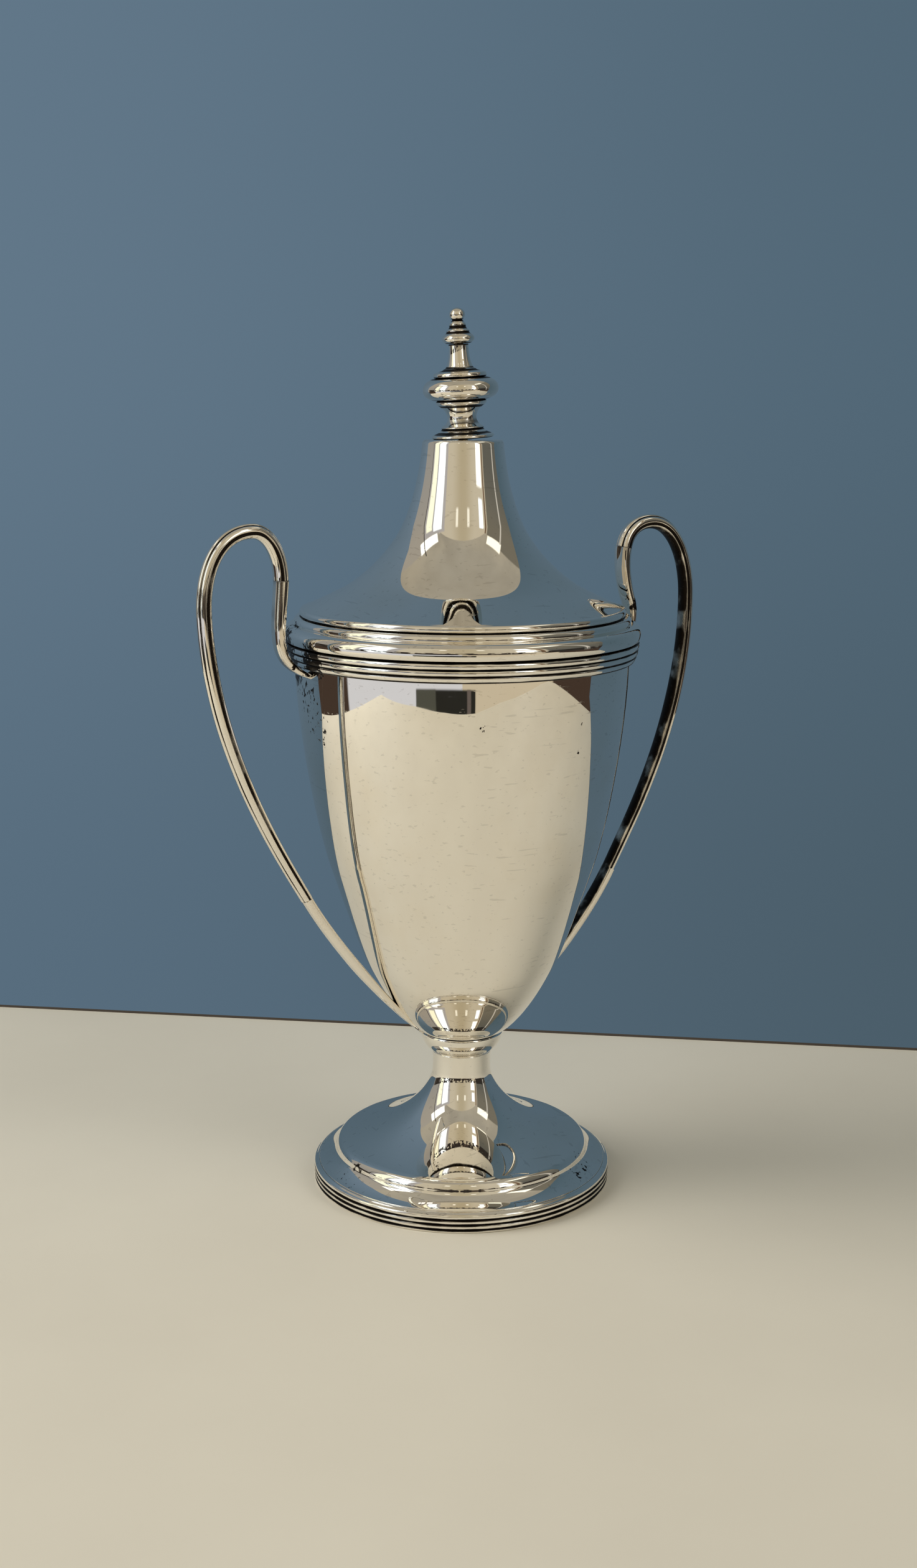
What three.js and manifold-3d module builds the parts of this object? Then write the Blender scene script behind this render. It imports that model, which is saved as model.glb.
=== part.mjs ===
// A two-handled silver presentation cup with a lift-off cover, about 300 mm tall over its finial.
// Millimetres, +Z up. The origin is the centre of the foot's flat underside, and the two handles
// lie along +X and -X. An outline is a list of (radius, height) points turned about the Z axis.

import * as THREE from 'three';
import { mergeVertices } from 'three/addons/utils/BufferGeometryUtils.js';
import Module from 'manifold-3d';

const wasm = await Module();
wasm.setup();

// ---- driving dimensions, in millimetres unless the name says otherwise ----

const wallThickness = 1.2; // sheet silver of the bowl, foot and cover
const seam = 0.3; // the gap left where two pieces are soldered or rest on each other

const footRimRadius = 52.3;
const footRimHeight = 6.4;
const footRimReeds = 3; // full reeds above the low one that rests on the table
const footLowReedHeight = 1.2;
const footSeatRadius = 50.4; // outer edge of the foot's shell, let into the reeded rim
const stepBaseRadius = 44.4;
const stepBaseHeight = 10.8;
const stepTopRadius = 41.7;
const stepTopHeight = 14.5;
const neckRadius = 10.2;
const neckBottomHeight = 39.8;
const neckTopHeight = 45.9;

const collarTopRadius = 14.2;
const collarTopHeight = 53.6;

const bowlBaseRadius = 14.6;
const bowlBaseHeight = collarTopHeight + seam;
const mouthRadius = 56.6; // outside of the bowl's wall at the mouth
const mouthHeight = 191.3;
const rimBandBottom = 184.9;
const rimBandRadius = 59.9;
const rimBandReeds = 3;

const coverSeatHeight = mouthHeight + 0.4;
const coverRimRadius = 60.1;
const coverRimTop = 197.2;
const coverSkirtRadius = 56.3;
const coverLedgeHeight = 199; // where the skirt turns in to the ledge below the roll
const coverRollRadius = 54.6; // the small roll between the ledge and the flare
const coverRollTop = 202.4;
const coverNeckRadius = 13.6;
const coverTopHeight = 257.6;
const bezelRadius = 54.5;
const bezelBottom = 184;

const studRadius = 1.6;
const boreRadius = studRadius + seam;
const studHoleRadius = 3; // loose hole in the cover's top, which lets the finial lean
const studBottom = -7.2; // heights on the finial count from the cover's flat top
const studTop = 34.1;
const washerTop = -1.7;
const washerThickness = 0.8;
const washerRadius = 5;
const nutHeight = 2.8;
const nutAcrossCorners = 7;
const finialLeanDegrees = 3.4; // the loose finial leans towards the -X handle
const knopRadius = 12.5;

const handleWidth = 6.2;
const handleThickness = 4.9;
const handleLowWidth = 5.5; // the strap is lighter at the bottom
const handleLowThickness = 4;

// Facets round a turned piece, and points along each curve of its outline.
const wideFacets = 48;
const slimFacets = 24;
const curveSteps = 4;

// ---- materials ----

const silver = { color: 0xd4d0c8, roughness: 0.12, metalness: 1 };
const brass = { color: 0xb08d57, roughness: 0.4, metalness: 1 };

// ---- geometry helpers ----

// Draws an outline: two numbers add a straight line to a point, six add a cubic curve.
function drawOutline(start, steps, divisions = curveSteps) {
  const path = new THREE.Path();
  path.moveTo(...start);
  for (const step of steps) {
    if (step.length === 2) path.lineTo(...step);
    else path.bezierCurveTo(...step);
  }
  return path.getPoints(divisions);
}

// Moves an open outline sideways, to the left of its direction of travel.
function offsetOutline(points, distance) {
  return points.map((point, index) => {
    const before = points[Math.max(index - 1, 0)];
    const after = points[Math.min(index + 1, points.length - 1)];
    const along = after.clone().sub(before).normalize();
    const radius = Math.max(point.x - along.y * distance, 0);
    return new THREE.Vector2(radius, point.y + along.x * distance);
  });
}

// Turns a closed outline, drawn upwards along its outside, about the Z axis.
function turn(outline, facets = wideFacets) {
  return new THREE.LatheGeometry(outline, facets).rotateX(Math.PI / 2);
}

// A turned sheet of even thickness inside an outer outline that is drawn from bottom to top.
function turnShell(outer, facets = wideFacets) {
  const inner = offsetOutline(outer, wallThickness).reverse();
  const outline = [...outer, ...inner];
  if (outer[0].x > 0) outline.push(outer[0].clone());
  return turn(outline, facets);
}

// A turned ring or solid from straight lines and curves, closed on itself or on the axis.
function turnRing(start, steps, facets = wideFacets) {
  return turn(drawOutline(start, [...steps, start]), facets);
}

// Steps for an edge of rounded reeds, from bottom to top between two radii at the grooves.
function reedSteps(reeds, bottom, top, bottomRadius, topRadius, bulge) {
  const pitch = (top - bottom) / reeds;
  const steps = [];
  for (let reed = 0; reed < reeds; reed += 1) {
    const low = bottom + reed * pitch;
    const high = low + pitch;
    const lowRadius = THREE.MathUtils.mapLinear(low, bottom, top, bottomRadius, topRadius);
    const highRadius = THREE.MathUtils.mapLinear(high, bottom, top, bottomRadius, topRadius);
    steps.push([lowRadius + bulge, low + pitch * 0.28]);
    steps.push([highRadius + bulge, low + pitch * 0.72]);
    steps.push([highRadius, high]);
  }
  return steps;
}

function toSolid(geometry) {
  const bare = geometry.clone();
  bare.deleteAttribute('normal');
  bare.deleteAttribute('uv');
  const merged = mergeVertices(bare, 1e-4);
  const vertProperties = new Float32Array(merged.attributes.position.array);
  const triVerts = new Uint32Array(merged.index.array);
  return new wasm.Manifold(new wasm.Mesh({ numProp: 3, vertProperties, triVerts }));
}

function cutAway(geometry, tool) {
  const mesh = toSolid(geometry).subtract(toSolid(tool)).getMesh();
  const cut = new THREE.BufferGeometry();
  cut.setAttribute('position', new THREE.BufferAttribute(mesh.vertProperties, 3));
  cut.setIndex(new THREE.BufferAttribute(mesh.triVerts, 1));
  cut.computeVertexNormals();
  return cut;
}

function addPiece(group, name, geometry, finish = silver) {
  const piece = new THREE.Mesh(geometry, new THREE.MeshStandardMaterial(finish));
  piece.name = name;
  group.add(piece);
  return piece;
}

// ---- foot ----

// The reeded wire round the foot's edge, with a ledge inside it for the foot's shell.
function makeFootRim() {
  const ledgeHeight = footRimHeight - 0.7;
  const innerRadius = footSeatRadius - 1.4;
  const grooveRadius = footRimRadius - 0.5;
  return turnRing([innerRadius, 0], [
    [grooveRadius, 0],
    ...reedSteps(1, 0, footLowReedHeight, grooveRadius, grooveRadius, 0.4),
    ...reedSteps(footRimReeds, footLowReedHeight, footRimHeight, grooveRadius, grooveRadius, 0.5),
    [footSeatRadius + seam, footRimHeight + 0.4],
    [footSeatRadius + seam, ledgeHeight],
    [innerRadius, ledgeHeight],
  ]);
}

// One raised shell: a sloping flange, a rounded step, the trumpet and the neck.
function makeFoot() {
  const outer = drawOutline([footSeatRadius, footRimHeight + 0.9], [
    [stepBaseRadius, stepBaseHeight],
    [stepBaseRadius, 12.9, 43.3, 14.3, stepTopRadius, stepTopHeight],
    [24, 18, 10.6, 30, neckRadius, neckBottomHeight],
    [neckRadius, neckTopHeight],
  ], curveSteps + 2);
  return turnShell(outer);
}

// ---- bowl ----

function makeStemCollar() {
  const bottom = neckTopHeight + seam;
  return turn(drawOutline([0, bottom], [
    [neckRadius - 0.6, bottom],
    [12.2, 47.4, 14, 49.8, collarTopRadius, collarTopHeight - 0.9],
    [collarTopRadius - 0.4, collarTopHeight],
    [0, collarTopHeight],
  ]), slimFacets);
}

function drawBowl() {
  return drawOutline([0, bowlBaseHeight], [
    [bowlBaseRadius, bowlBaseHeight],
    [21.6, 58.2, 28.9, 70.9, 32.2, 77.4],
    [35.6, 84.2, 41, 100.5, 45.5, 114],
    [50.4, 129.5, 56.3, 163, mouthRadius, rimBandBottom - 0.3],
    [mouthRadius, mouthHeight],
  ]);
}

// The applied wire of three reeds round the mouth, tucked in to the wall at its lower edge.
function makeRimBand() {
  const innerRadius = mouthRadius + seam;
  const firstReed = rimBandBottom + 0.4;
  const grooveRadius = rimBandRadius - 0.6;
  return turnRing([innerRadius, rimBandBottom], [
    [innerRadius + 0.6, rimBandBottom],
    ...reedSteps(rimBandReeds, firstReed, mouthHeight, grooveRadius - 1, grooveRadius, 0.6),
    [innerRadius, mouthHeight],
  ]);
}

// ---- handles ----

// Half of the reeded section's outline: x points away from the loop, y across the strap.
function makeReededSection() {
  const half = [
    [0.5, 0],
    [0.44, 0.13],
    [0.33, 0.17],
    [0.36, 0.3],
    [0.22, 0.41],
    [0.1, 0.4],
    [-0.12, 0.49],
    [-0.38, 0.4],
    [-0.5, 0.2],
  ];
  const mirrored = half.slice(1).reverse().map(([x, y]) => [x, -y]);
  const points = [...half, ...mirrored];
  return new THREE.Shape(points.map(([x, y]) => new THREE.Vector2(x, y)));
}

function makeOvalSection() {
  const oval = new THREE.Path().absellipse(0, 0, 0.5, 0.5, 0, Math.PI * 2);
  return new THREE.Shape(oval.getPoints(6).slice(0, -1));
}

// Runs a unit section along a path in the XZ plane. x of the section points away from the loop.
function sweepStrap(section, path, steps, thicknessAt, widthAt) {
  const geometry = new THREE.ExtrudeGeometry(section, { depth: 1, steps, bevelEnabled: false });
  const position = geometry.attributes.position;
  const across = new THREE.Vector3(0, 1, 0);
  const vertex = new THREE.Vector3();
  for (let index = 0; index < position.count; index += 1) {
    vertex.fromBufferAttribute(position, index);
    const share = vertex.z;
    const outwards = across.clone().cross(path.getTangentAt(share));
    const point = path.getPointAt(share);
    point.addScaledVector(outwards, vertex.x * thicknessAt(share));
    point.addScaledVector(across, vertex.y * widthAt(share));
    position.setXYZ(index, point.x, point.y, point.z);
  }
  geometry.computeVertexNormals();
  return geometry;
}

function joinCurves(start, curves) {
  const path = new THREE.CurvePath();
  let from = new THREE.Vector3(start[0], 0, start[1]);
  for (const [x1, z1, x2, z2, x3, z3] of curves) {
    const to = new THREE.Vector3(x3, 0, z3);
    const firstControl = new THREE.Vector3(x1, 0, z1);
    const secondControl = new THREE.Vector3(x2, 0, z2);
    path.add(new THREE.CubicBezierCurve3(from, firstControl, secondControl, to));
    from = to;
  }
  return path;
}

// The handles were bent by hand, so their two outlines differ by a millimetre or two. Each is a start
// point and cubic curves for the plain lower end, the reeded strap, and the plain upper end.
const handleOutlines = {
  left: {
    lowerTip: [17, 56.1],
    lowerEnd: [[27.2, 64.3, 48.2, 89.8, 58.5, 107.9]],
    strap: [
      [67.5, 123.7, 90.2, 160, 91.9, 203],
      [92.5, 219, 86.2, 230.1, 75.2, 229.9],
      [69.6, 229.8, 65.6, 222.6, 65.6, 214],
    ],
    upperEnd: [
      [65.9, 207.5, 67, 201, 66.7, 195],
      [66.4, 188, 62.3, 184.3, 55.8, 182.2],
    ],
  },
  right: {
    lowerTip: [17, 56.1],
    lowerEnd: [[27.5, 64.5, 50, 86.8, 59.7, 104.9]],
    strap: [
      [69.7, 123.5, 91.4, 158, 90.4, 203],
      [90, 216.5, 84.2, 228.4, 74.2, 228.6],
      [68.5, 228.8, 64.6, 225.2, 63.6, 220],
    ],
    upperEnd: [
      [62.8, 215.5, 63.3, 208.5, 65.8, 201.5],
      [67.8, 195.6, 67.4, 186.6, 55.8, 182.2],
    ],
  },
};

// The plain tapered end that is soldered under the bowl, from its tip up to the splice.
function makeLowerEnd(outline, bowlClearance) {
  const path = joinCurves(outline.lowerTip, outline.lowerEnd);
  const thicknessAt = (share) => THREE.MathUtils.lerp(1.9, handleLowThickness, Math.min(share * 1.9, 1));
  const widthAt = (share) => THREE.MathUtils.lerp(0.8, handleLowWidth, Math.min(share * 2, 1) ** 0.6);
  return cutAway(sweepStrap(makeOvalSection(), path, 10, thicknessAt, widthAt), bowlClearance);
}

// The reeded strap between the two splices: up the outside, over the loop and down inside it.
function makeStrap(outline) {
  const path = joinCurves(outline.lowerEnd.at(-1).slice(-2), outline.strap);
  const spliceShare = seam / path.getLength();
  const inset = (share) => THREE.MathUtils.lerp(spliceShare, 1 - spliceShare, share);
  const shortened = {
    getTangentAt: (share) => path.getTangentAt(inset(share)),
    getPointAt: (share) => path.getPointAt(inset(share)),
  };
  const swell = (share) => Math.min(share * 2.4, 1);
  const thicknessAt = (share) => THREE.MathUtils.lerp(handleLowThickness, handleThickness, swell(share));
  const widthAt = (share) => THREE.MathUtils.lerp(handleLowWidth, handleWidth, swell(share));
  return sweepStrap(makeReededSection(), shortened, 22, thicknessAt, widthAt);
}

// The plain end of the inner arm, which curls in under the rim band to meet the bowl.
function makeUpperEnd(outline, bowlClearance) {
  const path = joinCurves(outline.strap.at(-1).slice(-2), outline.upperEnd);
  const thicknessAt = (share) => THREE.MathUtils.lerp(handleThickness - 0.3, 1.6, share ** 2);
  const widthAt = (share) => handleWidth - 1.6 * share ** 3;
  return cutAway(sweepStrap(makeOvalSection(), path, 10, thicknessAt, widthAt), bowlClearance);
}

// ---- cover ----

// One spun shell: the flat top, the tall concave neck, a small roll, a ledge and a straight skirt.
function makeCoverShell() {
  const outer = drawOutline([coverSkirtRadius, coverSeatHeight], [
    [coverSkirtRadius, coverLedgeHeight],
    [coverRollRadius, coverLedgeHeight + 0.9],
    [coverRollRadius - 0.1, coverRollTop - 0.8],
    [coverRollRadius - 1, coverRollTop],
    [49.6, 203.98, 44.3, 206.43, 40.3, 208.6],
    [33.2, 212.45, 23.6, 221.6, 19.8, 230.5],
    [15.4, 240.5, 14.2, 250, coverNeckRadius - 0.1, coverTopHeight - 0.9],
    [coverNeckRadius - 0.9, coverTopHeight],
    [studHoleRadius, coverTopHeight],
  ]);
  return turnShell(outer);
}

// The heavy rounded moulding round the cover's edge, which rests on the rim of the bowl.
function makeCoverRim() {
  const innerRadius = coverSkirtRadius + seam;
  return turnRing([innerRadius, coverSeatHeight], [
    [coverRimRadius - 1.7, coverSeatHeight],
    [coverRimRadius - 0.5, 191.9, coverRimRadius, 193.1, coverRimRadius, 194.3],
    [coverRimRadius, 196, 59, 196.9, innerRadius, coverRimTop],
  ]);
}

// The thin sleeve inside the cover that drops into the mouth and keeps the cover centred.
function makeCoverBezel() {
  const innerRadius = bezelRadius - 1;
  return turnRing([innerRadius + 0.4, bezelBottom], [
    [bezelRadius - 0.4, bezelBottom],
    [bezelRadius, bezelBottom + 1],
    [bezelRadius - seam, coverRimTop - 0.5],
    [innerRadius - seam, coverRimTop - 0.5],
    [innerRadius, bezelBottom + 1],
  ]);
}

// ---- finial: heights here count up from the cover's flat top ----

// A turned piece bored for the stud.
function turnBored(steps) {
  const bottom = steps[0].at(-1);
  const top = steps.at(-1).at(-1);
  return turnRing([boreRadius, bottom], [...steps, [boreRadius, top]], slimFacets);
}

function makeFinialBase() {
  return turnBored([
    [10, 0.65],
    [10.3, 1.3],
    [8.6, 2.3, 7.8, 2.2, 6.9, 3.4],
  ]);
}

function makeFinialSpool() {
  return turnBored([
    [6.8, 3.7],
    [5, 5, 4.7, 6, 4.8, 7.4],
    [5, 9.4, 7, 10.6, 8.3, 11.6],
    [8.3, 12.7],
  ]);
}

function makeFinialKnop() {
  return turnBored([
    [7.6, 13],
    [10.6, 13, knopRadius, 14.4, knopRadius, 16.2],
    [knopRadius, 18.2, 10.8, 19.7, 8.4, 19.9],
  ]);
}

function makeFinialSpindle() {
  const boreTop = 30.6;
  return turnRing([boreRadius, 20.2], [
    [8.7, 20.2],
    [8.7, 21.8],
    [5.4, 22.6],
    [4.4, 23.5],
    [3.6, 25, 3.2, 27.6, 3.2, boreTop],
    [boreRadius, boreTop],
  ], slimFacets);
}

// The turned tip: a small bun, a ringed cone and the ball on top, bored blind from below.
function makeFinialTip() {
  const ballRadius = 2.35;
  const ballHeight = 40.5;
  const boreTop = 34.4;
  return turn(drawOutline([0, boreTop], [
    [boreRadius, boreTop],
    [boreRadius, 30.9],
    [3.9, 31.1],
    [5.6, 31.9, 5.6, 33.1, 3.9, 34.1],
    [3.8, 35],
    [2.7, 36],
    [2.6, 37.6],
    [1.9, 38.6],
    [ballRadius + 0.2, 39.4, ballRadius + 0.2, 41.6, 1.2, 42.2],
    [0, ballHeight + 1.95],
  ]), slimFacets);
}

function makeStud() {
  const stud = new THREE.CylinderGeometry(studRadius, studRadius, studTop - studBottom, slimFacets);
  return stud.rotateX(Math.PI / 2).translate(0, 0, (studTop + studBottom) / 2);
}

function makeWasher() {
  return turnBored([
    [washerRadius, washerTop - washerThickness],
    [washerRadius, washerTop],
  ]);
}

function makeNut() {
  const outline = new THREE.Shape().absarc(0, 0, nutAcrossCorners / 2, 0, Math.PI * 2);
  const hexagon = new THREE.Shape(outline.getPoints(3).slice(0, -1));
  hexagon.holes.push(new THREE.Path().absarc(0, 0, boreRadius, 0, Math.PI * 2));
  const options = { depth: nutHeight, bevelEnabled: false, curveSegments: 12 };
  const nut = new THREE.ExtrudeGeometry(hexagon, options);
  return nut.translate(0, 0, washerTop - washerThickness - seam - nutHeight);
}

// ---- assembly ----

const trophy = new THREE.Group();

addPiece(trophy, 'foot_rim', makeFootRim());
addPiece(trophy, 'foot', makeFoot());
addPiece(trophy, 'stem_collar', makeStemCollar());
addPiece(trophy, 'bowl', turnShell(drawBowl()));
addPiece(trophy, 'rim_band', makeRimBand());

const bowlClearance = turn([...offsetOutline(drawBowl(), -seam), new THREE.Vector2(0, mouthHeight)]);
for (const [side, turnDegrees] of [['left', 180], ['right', 0]]) {
  const handle = new THREE.Group();
  addPiece(handle, `handle_${side}_lower_end`, makeLowerEnd(handleOutlines[side], bowlClearance));
  addPiece(handle, `handle_${side}_strap`, makeStrap(handleOutlines[side]));
  addPiece(handle, `handle_${side}_upper_end`, makeUpperEnd(handleOutlines[side], bowlClearance));
  handle.rotation.z = THREE.MathUtils.degToRad(turnDegrees);
  trophy.add(handle);
}

const cover = new THREE.Group();
addPiece(cover, 'cover_shell', makeCoverShell());
addPiece(cover, 'cover_rim', makeCoverRim());
addPiece(cover, 'cover_bezel', makeCoverBezel());

const finial = new THREE.Group();
addPiece(finial, 'finial_base', makeFinialBase());
addPiece(finial, 'finial_spool', makeFinialSpool());
addPiece(finial, 'finial_knop', makeFinialKnop());
addPiece(finial, 'finial_spindle', makeFinialSpindle());
addPiece(finial, 'finial_tip', makeFinialTip());
addPiece(finial, 'finial_stud', makeStud(), brass);
addPiece(finial, 'finial_washer', makeWasher(), brass);
addPiece(finial, 'finial_nut', makeNut(), brass);
finial.position.z = coverTopHeight;
finial.rotation.y = THREE.MathUtils.degToRad(-finialLeanDegrees);
cover.add(finial);
trophy.add(cover);

export default trophy;
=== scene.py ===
"""A covered two-handled silver presentation cup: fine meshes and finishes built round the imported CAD."""
import math

import bpy
from mathutils import Matrix, Vector


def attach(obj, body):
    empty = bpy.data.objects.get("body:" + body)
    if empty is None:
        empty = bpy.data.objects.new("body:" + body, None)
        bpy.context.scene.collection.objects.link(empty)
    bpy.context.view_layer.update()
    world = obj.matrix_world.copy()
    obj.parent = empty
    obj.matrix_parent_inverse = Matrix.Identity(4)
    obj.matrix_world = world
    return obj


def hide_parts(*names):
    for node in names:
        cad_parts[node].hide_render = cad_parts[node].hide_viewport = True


MM = 0.001
# The silver sheet's thickness in millimetres, and how finely the widest parts are turned.
SHEET = 1.2
WIDE_SEGMENTS = 224
# The tarnish of a blackened groove or joint: the most that a mesh can carry, and a joint's at its line.
BLACKEST = 1.3
JOINT_BLACK = 2.6
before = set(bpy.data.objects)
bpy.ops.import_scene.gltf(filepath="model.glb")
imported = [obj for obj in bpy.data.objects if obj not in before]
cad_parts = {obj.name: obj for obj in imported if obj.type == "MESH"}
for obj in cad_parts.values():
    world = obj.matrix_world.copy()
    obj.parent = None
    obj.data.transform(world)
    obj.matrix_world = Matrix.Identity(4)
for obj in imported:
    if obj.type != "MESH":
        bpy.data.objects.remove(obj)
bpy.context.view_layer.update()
scene = bpy.context.scene


# ---- outlines: lists of (radius, height) in millimetres ----


def bezier(p0, p1, p2, p3, count):
    """Points along a cubic curve, without its first."""
    points = []
    for i in range(1, count + 1):
        t = i / count
        a, b, c, d = (1 - t) ** 3, 3 * (1 - t) ** 2 * t, 3 * (1 - t) * t * t, t**3
        points.append(tuple(a * p0[k] + b * p1[k] + c * p2[k] + d * p3[k] for k in (0, 1)))
    return points


def trace(start, steps, spacing=0.45):
    """A dense outline. Two numbers draw a line, six a cubic curve, and ("arc", r, z, bulge) a round bead."""
    points = [start]
    for step in steps:
        here = points[-1]
        if step[0] == "arc":
            _, x, z, bulge = step
            chord = math.dist(here, (x, z))
            nx, nz = (z - here[1]) / chord, -(x - here[0]) / chord
            count = max(6, round(math.hypot(chord, 2 * bulge) / spacing * 1.6))
            for i in range(1, count + 1):
                t = i / count
                out = bulge * math.sqrt(max(0.0, 1 - (2 * t - 1) ** 2))
                across, along = here[0] + (x - here[0]) * t, here[1] + (z - here[1]) * t
                points.append((across + nx * out, along + nz * out))
        elif len(step) == 2:
            count = max(1, round(math.dist(here, step) / (spacing * 2)))
            for i in range(1, count + 1):
                points.append(tuple(here[k] + (step[k] - here[k]) * i / count for k in (0, 1)))
        else:
            p1, p2, p3 = step[0:2], step[2:4], step[4:6]
            length = math.dist(here, p1) + math.dist(p1, p2) + math.dist(p2, p3)
            points += bezier(here, p1, p2, p3, max(4, round(length / spacing)))
    return points


def soften(points, radius=0.25, limit=24, closed=True):
    """Rounds the sharp corners of an outline, as polishing does."""
    clean = [points[0]]
    for p in points[1:]:
        if math.dist(p, clean[-1]) > 0.02:
            clean.append(p)
    if closed and math.dist(clean[0], clean[-1]) < 0.02:
        clean.pop()
    n = len(clean)
    corners = []
    for i in range(n):
        if not closed and i in (0, n - 1):
            continue
        a, b, c = clean[i - 1], clean[i], clean[(i + 1) % n]
        turn = math.atan2(c[1] - b[1], c[0] - b[0]) - math.atan2(b[1] - a[1], b[0] - a[0])
        turn = abs((turn + math.pi) % (2 * math.pi) - math.pi)
        if turn > math.radians(limit) and b[0] > 0.01:
            corners.append(i)
    marked = set(corners)
    result = []
    for i in range(n):
        if i not in marked:
            near = [j for j in corners if math.dist(clean[j], clean[i]) < radius * 0.9]
            if not near:
                result.append(clean[i])
            continue
        corner = clean[i]
        ends = []
        for way in (-1, 1):
            left, at, j = radius, corner, i
            for _ in range(n):
                j = (j + way) % n
                gap = math.dist(clean[j], at)
                if gap >= left or j in marked:
                    share = min(left, gap * 0.45 if j in marked else left) / gap
                    at = tuple(at[k] + (clean[j][k] - at[k]) * share for k in (0, 1))
                    break
                left -= gap
                at = clean[j]
            ends.append(at)
        for s in (0, 0.25, 0.5, 0.75, 1):
            result.append(
                tuple(
                    (1 - s) ** 2 * ends[0][k] + 2 * s * (1 - s) * corner[k] + s * s * ends[1][k]
                    for k in (0, 1)
                )
            )
    return result


def offset(points, distance):
    """Moves an open outline inwards, towards the axis."""
    moved = []
    for i, p in enumerate(points):
        a, b = points[max(i - 1, 0)], points[min(i + 1, len(points) - 1)]
        length = math.dist(a, b) or 1
        dx, dz = (b[0] - a[0]) / length, (b[1] - a[1]) / length
        moved.append((max(p[0] - dz * distance, 0.0), p[1] + dx * distance))
    return moved


def hollows(points, reach=0.9, closed=True):
    """How deep in a groove or corner each point of an outline lies: 0 on the flat, about 1 in a sharp one."""
    sharp = reach * 0.42
    n = len(points)
    depth = []
    for i, p in enumerate(points):
        ends = []
        for way in (-1, 1):
            left, at, j = reach, p, i
            for _ in range(60):
                nxt = (j + way) % n if closed else min(max(j + way, 0), n - 1)
                gap = math.dist(points[nxt], at)
                if gap >= left or nxt == j:
                    share = left / gap if gap > 1e-9 else 0
                    at = tuple(at[k] + (points[nxt][k] - at[k]) * min(share, 1) for k in (0, 1))
                    break
                left -= gap
                at, j = points[nxt], nxt
            ends.append(at)
        (ax, az), (bx, bz) = ends
        length = math.hypot(bx - ax, bz - az) or 1
        nx, nz = (bz - az) / length, -(bx - ax) / length
        inside = -((p[0] - (ax + bx) / 2) * nx + (p[1] - (az + bz) / 2) * nz)
        depth.append(max(0.0, inside / sharp))
    return depth


def mesh_piece(name, verts, faces, grime, body, slot, node, sharp=38):
    """A piece that rides on a body and replaces a node. Edges sharper than this many degrees stay crisp."""
    mesh = bpy.data.meshes.new(name)
    mesh.from_pydata([tuple(c * MM for c in v) for v in verts], [], faces)
    layer = mesh.attributes.new("grime", "FLOAT", "POINT")
    layer.data.foreach_set("value", grime)
    mesh.validate()
    mesh.shade_smooth()
    mesh.set_sharp_from_angle(angle=math.radians(sharp))
    mesh.materials.append(FINISHES[slot])
    obj = bpy.data.objects.new(name, mesh)
    scene.collection.objects.link(obj)
    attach(obj, body)
    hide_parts(node)


def lathe(
    name,
    outline,
    node,
    body="cup",
    slot="polished_silver",
    segments=160,
    place=None,
    soil=1.0,
    seams=(),
    blackened=0.3,
):
    """Turns a closed outline, drawn upwards along its outside, about the Z axis.

    soil scales the tarnish in its grooves. seams are the heights of its joints and narrow grooves, whose
    black fades out over the blackened distance."""
    n = len(outline)
    depth = hollows(outline)
    verts, grime, rings = [], [], []
    for i, (r, z) in enumerate(outline):
        ring = []
        count = 1 if r < 1e-4 else segments
        for s in range(count):
            a = 2 * math.pi * s / segments
            ring.append(len(verts))
            verts.append((r * math.cos(a), r * math.sin(a), z))
            joint = max((JOINT_BLACK * math.exp(-abs(z - seam) / blackened) for seam in seams), default=0.0)
            grime.append(min(BLACKEST, max(depth[i] * soil, joint)))
        rings.append(ring)
    faces = []
    for i in range(n):
        low, high = rings[i], rings[(i + 1) % n]
        if len(low) == 1 and len(high) == 1:
            continue
        for s in range(segments):
            t = (s + 1) % segments
            if len(low) == 1:
                faces.append((low[0], high[t], high[s]))
            elif len(high) == 1:
                faces.append((low[s], low[t], high[0]))
            else:
                faces.append((low[s], low[t], high[t], high[s]))
    if place:
        verts = [tuple(place @ Vector(v)) for v in verts]
    mesh_piece(name, verts, faces, grime, body, slot, node)


def shell(outer, wall=SHEET):
    """A closed outline of a sheet of even thickness inside an outer outline."""
    return outer + offset(outer, wall)[::-1]


# ---- finishes ----


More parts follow.
